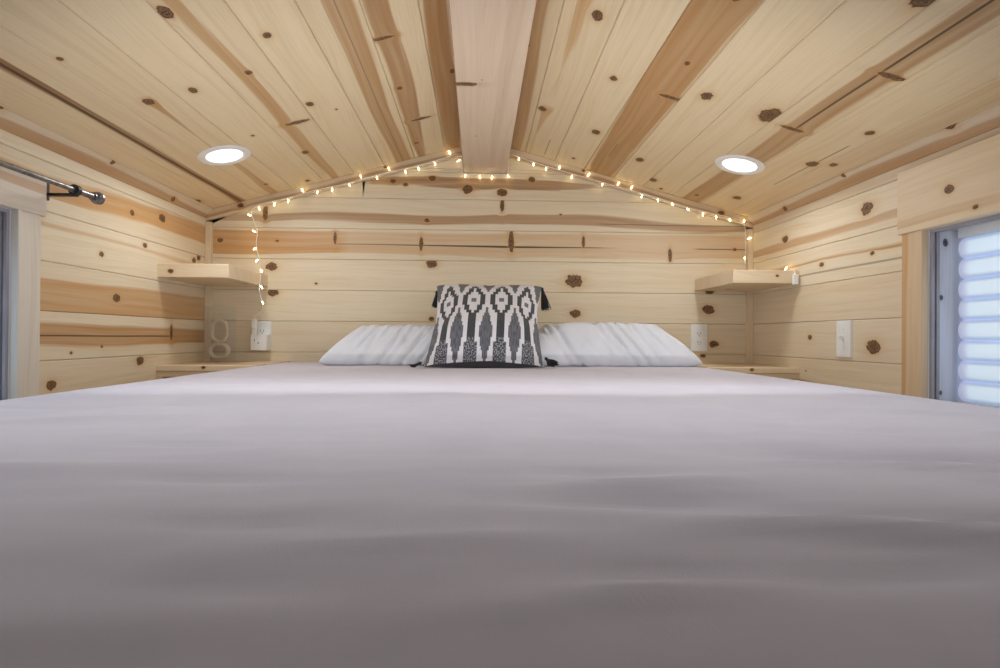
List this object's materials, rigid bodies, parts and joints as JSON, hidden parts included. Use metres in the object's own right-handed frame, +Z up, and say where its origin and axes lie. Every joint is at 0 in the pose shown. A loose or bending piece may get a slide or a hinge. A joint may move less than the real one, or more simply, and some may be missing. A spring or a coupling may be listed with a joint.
{
  "type": "tiny house sleeping loft",
  "caption": "Gabled sleeping loft bay of a tiny house: knotty pine lining, ridge beam, side windows, corner shelves, bedside boxes and a made bed under string lights.",
  "frame": {"origin": "centre of the bounding box at the underside of the floor joists", "axes": "+X across the house to the right, +Y along the ridge towards the closed gable end, +Z up"},
  "size_m": [2.59, 2.622, 1.4945],
  "materials": {
    "lining_pine": "oiled knotty pine boards",
    "ceiling_pine": "oiled knotty pine boards",
    "trim_pine": "clear pine strip",
    "beam_pine": "planed ridge beam",
    "framing_lumber": "sawn lumber",
    "siding_pine": "stained lap boards",
    "roof_metal": "satin standing seam sheet",
    "window_vinyl": "satin extruded vinyl",
    "window_glass": "clear double glazing",
    "stop_grey": "satin grooved strip",
    "jamb_pine": "whitewashed knotty pine",
    "shade_cloth": "pleated woven polyester",
    "rod_steel": "satin steel",
    "bracket_steel": "dark satin",
    "fitting_white": "semi gloss white",
    "lens_lit": "lit frosted disc",
    "mattress_fabric": "quilted ticking",
    "quilt_fabric": "soft brushed cotton",
    "pillow_fabric": "washed cotton",
    "cushion_fabric": "woven stepped diamonds",
    "cord_plastic": "thin white cable",
    "vase_glass": "clear pressed glass",
    "rope_cotton": "thin twisted cotton"
  },
  "bodies": {
    "root": {"floor_joists": "framing_lumber", "floor_deck": "trim_pine", "left_wall": "framing_lumber", "right_wall": "framing_lumber", "end_wall": "framing_lumber", "left_siding": "siding_pine", "right_siding": "siding_pine", "end_siding": "siding_pine", "left_lining": "lining_pine", "right_lining": "lining_pine", "end_lining": "lining_pine", "left_ceiling": "ceiling_pine", "right_ceiling": "ceiling_pine", "rafters": "framing_lumber", "ridge_beam": "beam_pine", "roof_deck_left": "framing_lumber", "roof_deck_right": "framing_lumber", "roof_metal_left": "roof_metal", "roof_metal_right": "roof_metal", "roof_seams": "roof_metal", "ridge_cap": "roof_metal", "eave_fascias": "siding_pine", "eave_soffits": "siding_pine", "barge_boards": "siding_pine", "eave_coves": "trim_pine", "rake_strips": "trim_pine", "corner_strips": "trim_pine", "left_casing": "trim_pine", "right_casing": "trim_pine", "outside_casings": "siding_pine", "left_jamb": "jamb_pine", "right_jamb": "jamb_pine", "window_stops": "stop_grey", "left_window_frame": "window_vinyl", "right_window_frame": "window_vinyl", "window_glass": "window_glass", "pleated_shade": "shade_cloth", "shade_rails": "window_vinyl", "left_shelf": "trim_pine", "right_shelf": "trim_pine", "left_bedside_box": "trim_pine", "right_bedside_box": "trim_pine", "bedside_tops": "trim_pine", "glass_vase": "vase_glass", "rope_hanks": "rope_cotton", "downlight_trims": "fitting_white", "downlight_lenses": "lens_lit", "outlets": "fitting_white", "light_switch": "fitting_white", "curtain_rod": "rod_steel", "rod_brackets": "bracket_steel", "mattress": "mattress_fabric", "quilt": "quilt_fabric", "left_pillow": "pillow_fabric", "right_pillow": "pillow_fabric", "accent_cushion": "cushion_fabric", "string_light_cord": "cord_plastic", "string_light_plugs": "fitting_white"}
  },
  "joints": []
}
